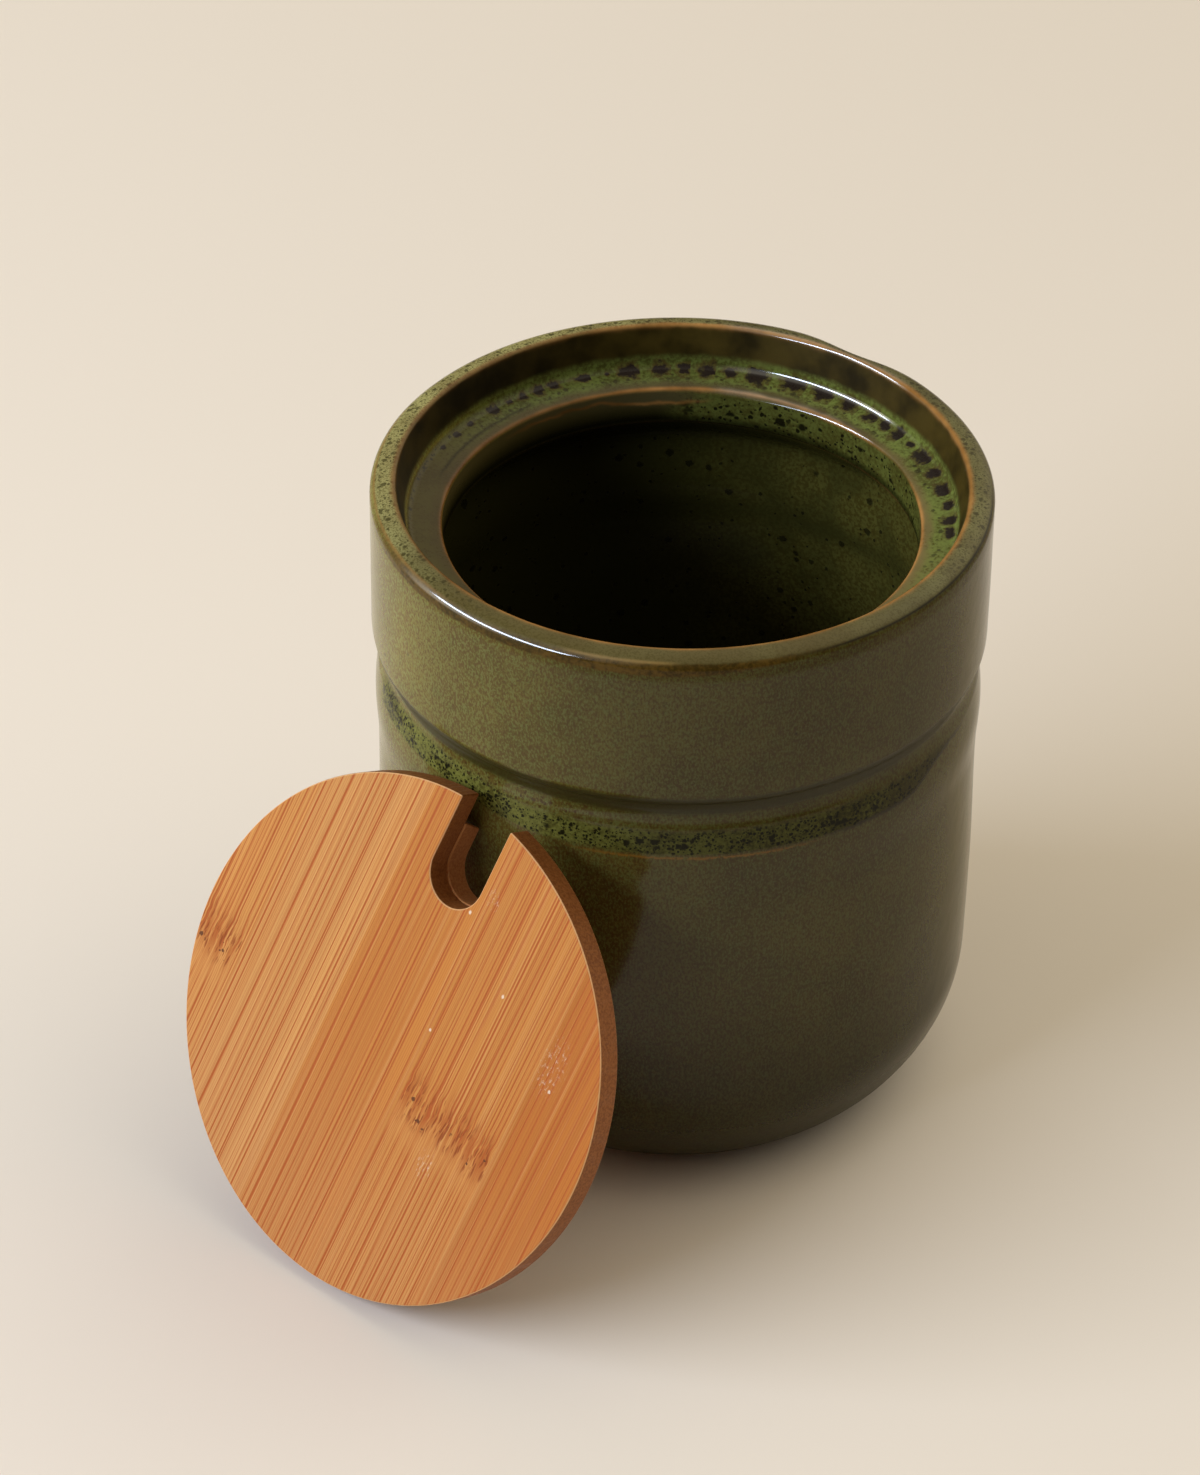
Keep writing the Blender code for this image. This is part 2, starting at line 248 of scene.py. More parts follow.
class Shade:
    """One socket of a material's nodes. Sums on it add Math nodes."""

    def __init__(self, tree, socket=None):
        self.tree = tree
        self.socket = socket

    def node(self, kind, settings=None, inputs=None, output=0):
        made = self.tree.nodes.new(kind)
        for name, value in (settings or {}).items():
            if name == "stops":
                while len(made.color_ramp.elements) < len(value):
                    made.color_ramp.elements.new(1.0)
                for element, (place, colour) in zip(made.color_ramp.elements, value):
                    element.position = place
                    element.color = (*colour, 1.0)
            else:
                setattr(made, name, value)
        for name, value in (inputs or {}).items():
            socket = made.inputs[name]
            if isinstance(value, Shade):
                self.tree.links.new(value.socket, socket)
            elif socket.type == 'RGBA' and len(value) == 3:
                socket.default_value = (*value, 1.0)
            else:
                socket.default_value = value
        return Shade(self.tree, made.outputs[output])

    def math(self, operation, *values, clamp=False):
        return self.node("ShaderNodeMath", {"operation": operation, "use_clamp": clamp},
                         dict(enumerate(values)))

    def __add__(self, other):
        return self.math('ADD', self, other)

    __radd__ = __add__

    def __mul__(self, other):
        return self.math('MULTIPLY', self, other)

    __rmul__ = __mul__

    def __sub__(self, other):
        return self.math('SUBTRACT', self, other)

    def __rsub__(self, other):
        return self.math('SUBTRACT', other, self)

    def __truediv__(self, other):
        return self.math('DIVIDE', self, other)

    def __pow__(self, other):
        return self.math('POWER', self, other)

    def most(self, other):
        return self.math('MAXIMUM', self, other)

    def least(self, other):
        return self.math('MINIMUM', self, other)

    def rise(self, low, high):
        """0 below low, 1 above high and an easy slope between. Low may be the larger."""
        return self.node("ShaderNodeMapRange", {"interpolation_type": 'SMOOTHSTEP'},
                         {"Value": self, "From Min": low, "From Max": high})

    def hump(self, middle, width):
        """1 at the middle, falling off on both sides over about the given width."""
        off = (self - middle) / width
        return self.math('EXPONENT', off * off * -1.0)

    def mix(self, low, high):
        """The colour low where this is 0, and high where it is 1."""
        return self.node("ShaderNodeMix", {"data_type": 'RGBA'}, {0: self, 6: low, 7: high}, 2)

    def tint(self, colour, low, high):
        """The colour, made darker or lighter from low to high as this goes from 0 to 1."""
        shade = self.node("ShaderNodeMapRange", {"clamp": False},
                          {"Value": self, "To Min": low, "To Max": high})
        return self.node("ShaderNodeVectorMath", {"operation": 'SCALE'},
                         {0: colour, "Scale": shade})

    def stretched(self, scale):
        """A place or a colour, with each of its three parts scaled."""
        return self.node("ShaderNodeVectorMath", {"operation": 'MULTIPLY'}, {0: self, 1: scale})

    def moved(self, offset):
        """A place or a colour, with this added to it."""
        return self.node("ShaderNodeVectorMath", {"operation": 'ADD'}, {0: self, 1: offset})

    def along(self, direction):
        """How far a place lies along this direction."""
        made = self.tree.nodes.new("ShaderNodeVectorMath")
        made.operation = 'DOT_PRODUCT'
        self.tree.links.new(self.socket, made.inputs[0])
        made.inputs[1].default_value = direction
        return Shade(self.tree, made.outputs["Value"])

    def cloud(self, size, detail=2.0, rough=0.5, output=0):
        """Smooth noise at this place, with lumps of about the given size."""
        return self.node("ShaderNodeTexNoise", {"noise_dimensions": '3D'},
                         {"Vector": self, "Scale": 1.0 / size, "Detail": detail,
                          "Roughness": rough}, output)

    def warped(self, size, amount):
        """This place, pushed about by noise so that what is drawn there gets uneven edges."""
        push = self.node("ShaderNodeVectorMath", {"operation": 'SUBTRACT'},
                         {0: self.cloud(size, 2.0, 0.5, 1), 1: (0.5, 0.5, 0.5)})
        push = self.node("ShaderNodeVectorMath", {"operation": 'SCALE'},
                         {0: push, "Scale": amount})
        return self.node("ShaderNodeVectorMath", {"operation": 'ADD'}, {0: self, 1: push})

    def parts(self):
        split = self.tree.nodes.new("ShaderNodeSeparateXYZ")
        self.tree.links.new(self.socket, split.inputs[0])
        return [Shade(self.tree, out) for out in split.outputs]

    def specks(self, spacing, most, least=0.02):
        """Round specks at about the given spacing. Most are small, and none is over the most."""
        near = self.tree.nodes.new("ShaderNodeTexVoronoi")
        near.inputs["Scale"].default_value = 1.0 / spacing
        self.tree.links.new(self.socket, near.inputs["Vector"])
        luck = Shade(self.tree, near.outputs["Color"]).parts()[0]
        size = luck * luck * (most - least) + least
        reach = Shade(self.tree, near.outputs["Distance"]) * spacing / size
        return reach.rise(1.25, 0.75)

    def rules(self, spacing, width):
        """Thin lines across this number at uneven steps of about the given spacing."""
        near = self.node("ShaderNodeTexVoronoi", {"voronoi_dimensions": '1D',
                                                  "feature": 'DISTANCE_TO_EDGE'},
                         {"W": self, "Scale": 1.0 / spacing})
        return (near * spacing).rise(width, width * 0.35)


def start_material(name):
    """A new material, its shader and a Shade of its nodes."""
    made = bpy.data.materials.new(name)
    made.use_nodes = True
    return made, made.node_tree.nodes["Principled BSDF"], Shade(made.node_tree)


# The glaze's colours. A pair is what soft noise goes between.
body_olives = ((0.052, 0.040, 0.007), (0.069, 0.054, 0.010))
mottle_brown = (0.056, 0.031, 0.008)
mottle_green = (0.044, 0.048, 0.010)
grain_brown = (0.040, 0.018, 0.005)
grain_green = (0.075, 0.078, 0.021)
fleck_dark = (0.016, 0.012, 0.004)
inside_dark = (0.032, 0.029, 0.006)
inside_greens = ((0.052, 0.040, 0.007), (0.078, 0.070, 0.014))
rim_olives = ((0.095, 0.080, 0.029), (0.132, 0.120, 0.044))
rim_front_brown = (0.092, 0.062, 0.017)
rim_grain_dark = (0.062, 0.046, 0.010)
brow_browns = ((0.036, 0.020, 0.003), (0.095, 0.050, 0.008))
gallery_browns = ((0.018, 0.012, 0.002), (0.058, 0.038, 0.006))
ledge_browns = ((0.050, 0.035, 0.013), (0.094, 0.073, 0.024))
pool_greens = ((0.075, 0.074, 0.014), (0.150, 0.178, 0.036))
streak_dark = (0.022, 0.016, 0.004)
neck_darks = ((0.020, 0.017, 0.004), (0.080, 0.062, 0.020))
neck_greens = ((0.060, 0.054, 0.010), (0.100, 0.106, 0.021))
groove_shade = (0.022, 0.018, 0.003)
lip_greens = ((0.042, 0.036, 0.007), (0.096, 0.093, 0.018))
lip_tail_brown = (0.034, 0.026, 0.007)
lip_foot_dark = (0.015, 0.010, 0.003)
spot_halo_brown = (0.072, 0.042, 0.011)
spot_black = (0.015, 0.009, 0.008)
scatter_dark = (0.026, 0.020, 0.006)
corner_dot_dark = (0.012, 0.009, 0.004)
speck_black = (0.007, 0.006, 0.002)
deep_speck_black = (0.006, 0.005, 0.002)
stray_brown = (0.046, 0.022, 0.006)
rim_speck_dark = (0.034, 0.027, 0.007)
bare_clays = ((0.250, 0.105, 0.022), (0.440, 0.205, 0.056))
crown_line_brown = (0.230, 0.110, 0.024)
glint_tan = (0.320, 0.190, 0.056)
rim_line_dark = (0.012, 0.008, 0.003)
neck_band_olive = (0.090, 0.070, 0.026)
lip_line_brown = (0.165, 0.075, 0.010)
foot_clay = (0.080, 0.030, 0.014)

# Where the glaze changes, in millimetres: places (r, z) of edges in the jar's section, and
# sums r + z, which grow steadily from the ledge up the gallery's wall
rim_edge_at = (52.60, 125.72)
neck_edge_at = (44.05, 116.80)
neck_foot_at = (44.10, 109.60)
crown_edge_at = (56.10, 125.20)
crown_side_at = (56.50, 124.90)
lower_corner_at = (25.5, 26.2)
spot_ring = 167.1
spot_ring_radius = 49.4
fine_dot_ring = 167.7
gallery_corner_ring = 168.6

# The dark spots of the gallery's corner: bearing, half width and half height of each
gallery_spots = (
    (36.3, 1.7, 1.0), (41.4, 1.7, 1.5), (46.6, 1.3, 1.0), (52.3, 2.3, 1.4), (59.2, 1.5, 1.4),
    (65.8, 2.5, 1.3), (71.3, 0.9, 0.6), (75.8, 1.4, 1.6), (80.2, 1.5, 1.1), (84.8, 1.5, 1.5),
    (91.4, 1.9, 1.6), (98.4, 2.0, 1.6), (105.5, 2.5, 1.8), (114.3, 2.6, 1.8), (120.6, 1.2, 1.1),
    (125.3, 2.0, 1.7), (130.9, 1.3, 1.5), (136.0, 1.6, 1.6), (143.0, 1.9, 1.7), (148.0, 0.5, 0.4),
    (153.0, 2.2, 0.8), (160.7, 1.1, 1.0), (164.6, 1.2, 1.2), (168.9, 0.9, 0.9), (172.4, 0.8, 0.6),
    (177.2, 1.5, 1.1), (184.8, 0.9, 0.6), (189.6, 1.0, 0.7), (195.5, 0.7, 0.5))


def glaze_material():
    """The olive glaze. Places are in millimetres, by height, by distance from the axis and by
    bearing round it."""
    made, shader, nodes = start_material("olive_reactive_glaze")
    place = nodes.node("ShaderNodeTexCoord", output=3).stretched((1000.0, 1000.0, 1000.0))
    x, y, z = place.parts()
    r = (x * x + y * y) ** 0.5
    soft = place.cloud(9.0, 3.0, 0.55)
    fine = place.cloud(0.75, 3.0, 0.6)
    patch = place.cloud(17.0, 2.0, 0.5)
    uneven = place.cloud(4.0, 2.0, 0.5) - 0.5
    ragged = place.cloud(1.1, 3.0, 0.65) - 0.5
    lumpy = place.cloud(1.7, 2.0, 0.6) - 0.5
    lumpy_up = place.moved((40.0, 0.0, 0.0)).cloud(1.7, 2.0, 0.6) - 0.5
    bent = place.warped(0.8, 0.7)
    off_r = r - lower_corner_at[0]
    off_z = (z - lower_corner_at[1]).least(0.0)
    wall_reach = (off_r * off_r + off_z * off_z) ** 0.5
    inside = wall_reach.rise(29.7, 28.5).most(r.rise(30.0, 28.0)) * z.rise(2.0, 6.0)
    outside = 1.0 - inside

    def toward(bearing, far, near):
        """0 to 1 as the bearing comes from far to near, both in degrees off the given one."""
        turn = math.radians(bearing)
        share = place.along((math.cos(turn), math.sin(turn), 0.0)) / r
        return share.rise(math.cos(math.radians(far)), math.cos(math.radians(near)))

    def edge_line(at, width):
        """A thin line round the jar at this place of its section, of uneven width."""
        off_r = r - at[0]
        off_z = z - at[1]
        off = (off_r * off_r + off_z * off_z) ** 0.5
        return off.hump(0.0, uneven * width * 1.2 + width)

    # Broad areas of the glaze: even olive outside, with fine brown and green grain in it
    colour = patch.rise(0.35, 0.65).mix(*body_olives)
    grain = place.stretched((1.0, 1.0, 0.6)).cloud(0.38, 2.0, 0.6)
    mottle = place.cloud(2.4, 3.0, 0.65)
    colour = (mottle.rise(0.53, 0.66) * 0.35).mix(colour, mottle_brown)
    colour = (mottle.rise(0.46, 0.34) * 0.30).mix(colour, mottle_green)
    colour = (grain.rise(0.50, 0.60) * 0.6).mix(colour, grain_brown)
    colour = (grain.rise(0.49, 0.39) * 0.6).mix(colour, grain_green)
    colour = (bent.specks(3.4, 0.34) * 0.6).mix(colour, fleck_dark)
    # Painted light: the olive is lighter towards bearings -135 and -150, where the window's light
    # falls, and lighter towards bearing 45 as a painted reflection of the pale room; it is darker
    # towards the foot as painted shade near the floor.
    colour = toward(-135.0, 85.0, 15.0).tint(colour, 1.0, 2.2)
    colour = toward(45.0, 36.0, 14.0).tint(colour, 1.0, 1.25)
    colour = toward(-150.0, 52.0, 34.0).tint(colour, 1.0, 1.35)
    colour = z.rise(56.0, 14.0).tint(colour, 1.0, 0.58)
    wall_inside = inside * z.rise(112.0, 107.0)
    # Painted light and shade inside: the wall is greener and lighter towards bearing 72, where
    # the window's light falls in through the mouth, and dark elsewhere; a painted shadow band
    # lies under the inner ridge near 85.5 mm.
    lit_side = toward(72.0, 75.0, 20.0) * (soft.rise(0.30, 0.60) * 0.6 + 0.4)
    lit_side = lit_side * (1.0 - z.hump(85.5, 2.6) * 0.6)
    deep_green = fine.rise(0.40, 0.60).mix(*inside_greens)
    colour = wall_inside.mix(colour, lit_side.mix(inside_dark, deep_green))

    # Rim: olive on its top, brown where it turns down outside
    rim_top = z.rise(124.6, 125.4) * r.rise(52.0, 52.8)
    top_olive = soft.rise(0.3, 0.7).mix(*rim_olives)
    # Painted light: the rim's top is lighter towards bearing -170 and towards bearing 35, where
    # light falls on it.
    top_olive = toward(-170.0, 75.0, 20.0).tint(top_olive, 1.0, 2.5)
    top_olive = toward(35.0, 40.0, 15.0).tint(top_olive, 1.0, 1.25)
    top_olive = (toward(-55.0, 60.0, 30.0) * 0.6).mix(top_olive, rim_front_brown)
    colour = rim_top.mix(colour, top_olive)
    colour = (rim_top * grain.rise(0.48, 0.60) * 0.55).mix(colour, rim_grain_dark)
    brow_foot = toward(-10.0, 40.0, 8.0) * 1.6 + 122.6
    brow = (z + uneven * 0.8 - brow_foot).rise(0.0, 0.6) * (z + ragged * 0.6).rise(125.3, 124.9)
    brow = brow * r.rise(55.0, 56.0) * toward(-72.0, 60.0, 36.0)
    brow_brown = (soft * 0.5 + fine * 0.5).rise(0.40, 0.62).mix(*brow_browns)
    colour = (brow * 0.9).mix(colour, brow_brown)

    # Gallery: dark thin glaze on its wall, a bright pool in its corner, olive-brown ledge
    section = z + r
    gallery_wall = inside * z.rise(118.6, 120.4) * z.rise(126.0, 125.4) * r.rise(53.2, 52.6)
    wall_brown = soft.rise(0.3, 0.7).mix(*gallery_browns)
    # Painted shade: the wall is darker towards bearing -155, the side that lies in the rim's
    # shadow.
    wall_brown = toward(-155.0, 80.0, 30.0).tint(wall_brown, 1.0, 0.5)
    colour = gallery_wall.mix(colour, wall_brown)
    ledge = inside * z.rise(116.4, 116.9) * z.rise(119.0, 118.4) * r.rise(43.0, 43.6)
    ledge_brown = soft.mix(*ledge_browns)
    # Painted light: the ledge is lighter towards bearing 30, where light reaches it past the
    # wall; elsewhere it stays in the wall's shade.
    colour = ledge.mix(colour, toward(30.0, 60.0, 25.0).tint(ledge_brown, 1.0, 2.1))
    back_share = toward(102.0, 104.0, 62.0) * 0.9 + 0.1
    pool_edge = (z + uneven * 1.0).rise(120.8, 119.2) * (r + uneven * 2.4).rise(44.6, 46.8)
    pool = inside * pool_edge * z.rise(116.5, 117.0) * back_share
    veins = (fine * 0.6 + soft * 0.4).rise(0.38, 0.60)
    pool_green = veins.mix(*pool_greens)
    pool_green = toward(150.0, 50.0, 15.0).tint(pool_green, 1.0, 0.68)
    colour = pool.mix(colour, pool_green)
    streak = (r + uneven * 0.8).hump(46.3, 0.36) * ledge * toward(187.0, 21.0, 13.0)
    colour = (streak * 0.75).mix(colour, streak_dark)

    # Neck: dark, with green glaze and dark blots on the side where the pool runs over
    neck = inside * z.rise(117.0, 116.0) * z.rise(109.6, 110.6) * r.rise(45.4, 44.6)
    run_over = toward(88.0, 50.0, 38.0)
    neck_dark = z.rise(111.0, 115.5).mix(*neck_darks)
    neck_green = veins.mix(*neck_greens)
    colour = neck.mix(colour, run_over.mix(neck_dark, neck_green))
    # Painted shade in the undercut under the neck.
    undercut_shade = inside * z.rise(112.0, 110.4) * z.rise(101.0, 108.0)
    colour = undercut_shade.tint(colour, 1.0, 0.30)

    # Painted shade in the groove under the band's edge, and a pool of glaze on the lip under the
    # band
    under_band = (z + ragged * 0.8).rise(96.6, 95.6) * z.rise(90.6, 91.8) * outside
    colour = (under_band * 0.8).mix(colour, groove_shade)
    height = z - toward(-115.0, 40.0, 10.0) * 2.0
    tail = toward(22.0, 24.0, 5.0)
    above_foot = height + ragged * 1.2 - (tail * 4.2 + 82.9)
    lip_pool = above_foot.rise(0.0, 0.7) * (height + uneven * 1.2).rise(88.8, 87.2)
    lip_pool = lip_pool * outside * toward(-56.0, 73.0, 66.0)
    lip_green = veins.mix(*lip_greens)
    # Painted light and shade: the lip's green is lighter towards bearing -125, where the window's
    # light falls, and darker towards bearing -45, beside the lid.
    lip_green = toward(-125.0, 82.0, 10.0).tint(lip_green, 0.68, 1.70)
    lip_green = (toward(16.0, 28.0, 10.0) * 0.75).mix(lip_green, lip_tail_brown)
    colour = lip_pool.mix(colour, lip_green)
    lip_foot = above_foot.hump(0.1, 0.45) * outside * toward(0.0, 24.0, 12.0)
    colour = (lip_foot * 0.8).mix(colour, lip_foot_dark)

    # Dark spots in the gallery's corner, read off a ramp by their bearing
    stops = [(0.0, (0.0, 0.01, 0.01))]
    for i, (bearing, half_width, half_height) in enumerate(gallery_spots):
        before = gallery_spots[i - 1][0] if i else bearing - 6.0
        stops.append(((before + bearing) / 720.0, (bearing / 360.0, half_width / 4.0,
                                                    half_height / 4.0)))
    share = nodes.math('ARCTAN2', y * -1.0, x * -1.0) / (2.0 * math.pi) + 0.5
    cell = nodes.node("ShaderNodeValToRGB", {"stops": stops}, {0: share})
    cell.socket.node.color_ramp.interpolation = 'CONSTANT'
    middle, half_width, half_height = cell.parts()
    ring_length = 2.0 * math.pi * spot_ring_radius
    along = (share - middle) * ring_length / (half_width * 4.0) + lumpy * 1.8
    across = (section - spot_ring) * 0.8 / (half_height * 4.0) + lumpy_up * 1.8
    off = (along * along + across * across) ** 0.5 + ragged * 1.2
    spot_row = off.rise(1.20, 0.72) * inside * z.rise(116.5, 117.0)
    colour = (off.rise(1.8, 1.0) * pool * 0.6).mix(colour, spot_halo_brown)
    colour = (spot_row * 0.94).mix(colour, spot_black)

    # Smaller specks in every pool, and on the rim except in front
    scatter = bent.specks(1.3, 0.70, 0.05) * r.rise(48.6, 47.6) * r.rise(44.4, 45.2)
    colour = (scatter * pool * 0.8).mix(colour, scatter_dark)
    corner_dots = bent.specks(0.9, 0.5, 0.15) * section.hump(fine_dot_ring, 0.6).rise(0.2, 0.6)
    corner_dots = corner_dots * inside * toward(-145.0, 32.0, 18.0)
    colour = (corner_dots * 0.8).mix(colour, corner_dot_dark)
    neck_specks = bent.specks(2.3, 1.4, 0.25) * z.hump(113.2, 1.2).rise(0.2, 0.5)
    neck_specks = neck_specks.most(bent.specks(0.9, 0.45, 0.08)) * neck * run_over
    colour = (neck_specks * 0.95).mix(colour, speck_black)
    deep_specks = bent.specks(3.2, 0.85, 0.05).most(bent.specks(1.7, 0.40)) * wall_inside
    colour = (deep_specks * 0.75).mix(colour, deep_speck_black)
    lip_specks = bent.specks(2.0, 1.00, 0.40) * height.hump(85.3, 1.0).rise(0.25, 0.55)
    lip_specks = lip_specks.most(bent.specks(0.60, 0.38, 0.12)) * lip_pool
    colour = (lip_specks * 0.95).mix(colour, speck_black)
    strays = bent.specks(0.8, 0.42, 0.1) * z.hump(89.8, 1.5).rise(0.2, 0.6)
    strays = strays * outside * toward(-80.0, 22.0, 12.0)
    colour = (strays * 0.8).mix(colour, stray_brown)
    rim_share = (1.0 - toward(-40.0, 60.0, 40.0)) * z.rise(124.9, 125.4)
    rim_specks = bent.specks(1.05, 0.62, 0.12).most(bent.specks(0.55, 0.22, 0.08))
    colour = (rim_specks * rim_top * rim_share * 0.75).mix(colour, rim_speck_dark)

    # Thin lines where the glaze draws back from an edge, and a painted highlight on the crown
    bare_clay = soft.rise(0.3, 0.7).mix(*bare_clays)
    # Painted shade: the clay lines are darker towards bearing -155, where the rim shades the
    # gallery.
    bare_clay = toward(-155.0, 75.0, 40.0).tint(bare_clay, 1.0, 0.5)
    for at, width, strength in ((rim_edge_at, 0.50, 0.9), (neck_edge_at, 0.42, 0.95),
                                (neck_foot_at, 0.30, 0.3)):
        colour = (edge_line(at, width) * strength).mix(colour, bare_clay)
    crown_line = edge_line(crown_edge_at, 0.30)
    outer_line = crown_line * toward(-130.0, 40.0, 20.0) * 0.6
    colour = outer_line.mix(colour, crown_line_brown)
    # A painted highlight: a tan glint along the crown's edge at bearing -60.
    glint = crown_line * toward(-60.0, 12.0, 6.0) * 0.5
    colour = glint.mix(colour, glint_tan)
    rim_line = edge_line(crown_side_at, 0.26) * toward(8.0, 36.0, 24.0)
    colour = (rim_line * 0.9).mix(colour, rim_line_dark)
    line_height = z + uneven * 1.6 + toward(138.0, 14.0, 6.0) * 1.1
    line_side = neck * toward(152.0, 30.0, 16.0)
    above_line = line_height.rise(115.0, 115.5) * line_side
    colour = (above_line * 0.8).mix(colour, neck_band_olive)
    colour = (line_height.hump(115.1, 0.38) * line_side * 0.75).mix(colour, bare_clay)
    lip_line = (z + ragged * 1.0).hump(82.5, 0.26) * outside * toward(-46.0, 27.0, 10.0)
    colour = (lip_line * ragged.rise(-0.2, 0.0) * 0.85).mix(colour, lip_line_brown)

    foot = z.rise(2.0, 0.4) * outside
    colour = foot.mix(colour, foot_clay)

    made.node_tree.links.new(colour.socket, shader.inputs["Base Color"])
    rough = fine * 0.08 + soft * 0.06 + gallery_wall * 0.25 + ledge * 0.12 + 0.09
    rough = rough + lip_pool * 0.10 + under_band * 0.30 + z.rise(24.0, 8.0) * outside * 0.25
    made.node_tree.links.new(rough.socket, shader.inputs["Roughness"])
    shader.inputs["IOR"].default_value = 1.45
    shader.inputs["Specular IOR Level"].default_value = 0.12
    crown = z.rise(124.1, 124.5) * r.rise(55.6, 56.2) * toward(-83.0, 32.0, 17.0) * 0.55
    corner = section.hump(gallery_corner_ring, 1.0).rise(0.2, 0.7) * inside * z.rise(117.0, 117.4)
    edges = edge_line(rim_edge_at, 0.9).most(edge_line(neck_edge_at, 0.7)).most(corner)
    glassy = crown.most(edges * toward(101.0, 24.0, 17.0) * 0.9).most(pool * 0.02)
    glassy = glassy.most(neck * 0.06).most(wall_inside * 0.16)
    glassy = glassy.most(outside * (1.0 - lip_pool) * z.rise(122.5, 121.0) * 0.09)
    made.node_tree.links.new(glassy.socket, shader.inputs["Coat Weight"])
    shader.inputs["Coat Roughness"].default_value = 0.11
    shader.inputs["Coat IOR"].default_value = 2.2
    relief = place.cloud(0.9, 2.0, 0.5) * 0.35 + place.cloud(3.5, 1.0, 0.5)
    normal = nodes.node("ShaderNodeBump", {}, {"Strength": 0.10, "Distance": 0.0004,
                                               "Height": relief})
    made.node_tree.links.new(normal.socket, shader.inputs["Normal"])
    return made


jar = build_jar()
jar.data.materials.append(glaze_material())
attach(jar, "jar")
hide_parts("jar_body")


# The lid's plate: a round of carbonised bamboo board, 5 mm thick, sawn out with a slot for a
# spoon's stem and sanded. It is the lid's upper layer and its face looks at the camera.

plate_clearance = 0.0015
plate_thickness = 0.0050
plug_clearance = 0.0015
plug_thickness = 0.0048
plug_taper = 0.0015
glue_line = 0.0002
edge_chamfer = 0.00035
slot_width = 0.0123
slot_depth = 0.0199
slot_off_centre = 0.0019
slot_step = 0.00015
facet_ease = 0.00008
lean_angle = math.radians(24.7)
lid_turn = math.radians(9.6)
lid_side_offset = 0.0034
lean_gap = 0.0003
board_turn_steps = 240
slot_turn_steps = 40
chamfer_steps = 3
sharp_angle = math.radians(40.0)

plate_radius = gallery_radius - plate_clearance
plug_radius = neck_radius - plug_clearance
slot_round_centre = plate_radius - slot_depth + slot_width / 2.0


def lid_place():
    """The middle of the lid's top face, with +Z out of the face and the slot along +Y."""
    lid_depth = plate_thickness + glue_line + plug_thickness
    plug_end_radius = plug_radius - plug_taper
    up = Vector((0.0, math.sin(lean_angle), math.cos(lean_angle)))
    outward = Vector((0.0, -math.cos(lean_angle), math.sin(lean_angle)))
    touch_radius = band_radius - shoulder_inset + lean_gap
    touch_y = -math.sqrt(touch_radius ** 2 - lid_side_offset ** 2)
    centre_y = touch_y - (plug_end_radius - edge_chamfer) * up.y + lid_depth * outward.y
    centre_z = plate_radius * up.z + (plate_thickness - edge_chamfer) * outward.z
    tilt = Matrix.Rotation(math.pi / 2.0 - lean_angle, 4, 'X')
    turn = Matrix.Rotation(-lid_turn, 4, 'Z')
    return Matrix.Translation((lid_side_offset, centre_y, centre_z)) @ tilt @ turn


def board_outline(radius, half_width):
    """The round of a lid board with its spoon slot, once round from the slot's right corner."""
    right = -slot_off_centre + half_width
    left = -slot_off_centre - half_width
    start = math.atan2(math.sqrt(radius ** 2 - right ** 2), right)
    end = math.atan2(math.sqrt(radius ** 2 - left ** 2), left) - 2.0 * math.pi
    points = arc((0.0, 0.0), (radius, radius), start, end, board_turn_steps)
    points += arc((-slot_off_centre, slot_round_centre), (half_width, half_width),
                  math.pi, 2.0 * math.pi, slot_turn_steps)
    return points


def build_board(name, top_z, bottom_z, top_radius, bottom_radius, half_width):
    """A lid board between two heights in the lid's own frame, with its edges rubbed round."""
    bm = bmesh.new()
    loops = []
    for z, radius in ((top_z, top_radius), (bottom_z, bottom_radius)):
        loops.append([bm.verts.new((u, v, z)) for u, v in board_outline(radius, half_width)])
    bm.faces.new(loops[0])
    bm.faces.new(loops[1][::-1])
    count = len(loops[0])
    for i in range(count):
        ahead = (i + 1) % count
        bm.faces.new((loops[0][i], loops[1][i], loops[1][ahead], loops[0][ahead]))
    bmesh.ops.recalc_face_normals(bm, faces=bm.faces)
    bm.transform(lid_place())
    mesh = bpy.data.meshes.new(name)
    bm.to_mesh(mesh)
    bm.free()
    mesh.shade_smooth()
    made = bpy.data.objects.new(name, mesh)
    bpy.context.collection.objects.link(made)
    ease = made.modifiers.new("rubbed_edges", 'BEVEL')
    ease.width = edge_chamfer
    ease.segments = chamfer_steps
    ease.limit_method = 'ANGLE'
    ease.angle_limit = sharp_angle
    ease.harden_normals = True
    return made


# The bamboo's strips in millimetres across the lid, and its colours
first_strip_side = -60.2
strip_width = 22.7
vein_pale = (0.650, 0.330, 0.105)
vein_dark = (0.440, 0.135, 0.022)
lower_sheen_tan = (0.560, 0.262, 0.094)
knuckle_pale = (0.600, 0.265, 0.070)
knuckle_red = (0.370, 0.095, 0.012)
hair_red = (0.400, 0.085, 0.012)
fibre_red = (0.385, 0.082, 0.012)
knot_dark = (0.250, 0.050, 0.005)
knot_dot_black = (0.090, 0.024, 0.006)
dust_pale = (0.800, 0.650, 0.480)
largest_speck = 0.5
scuff_stretch_from = 3.0


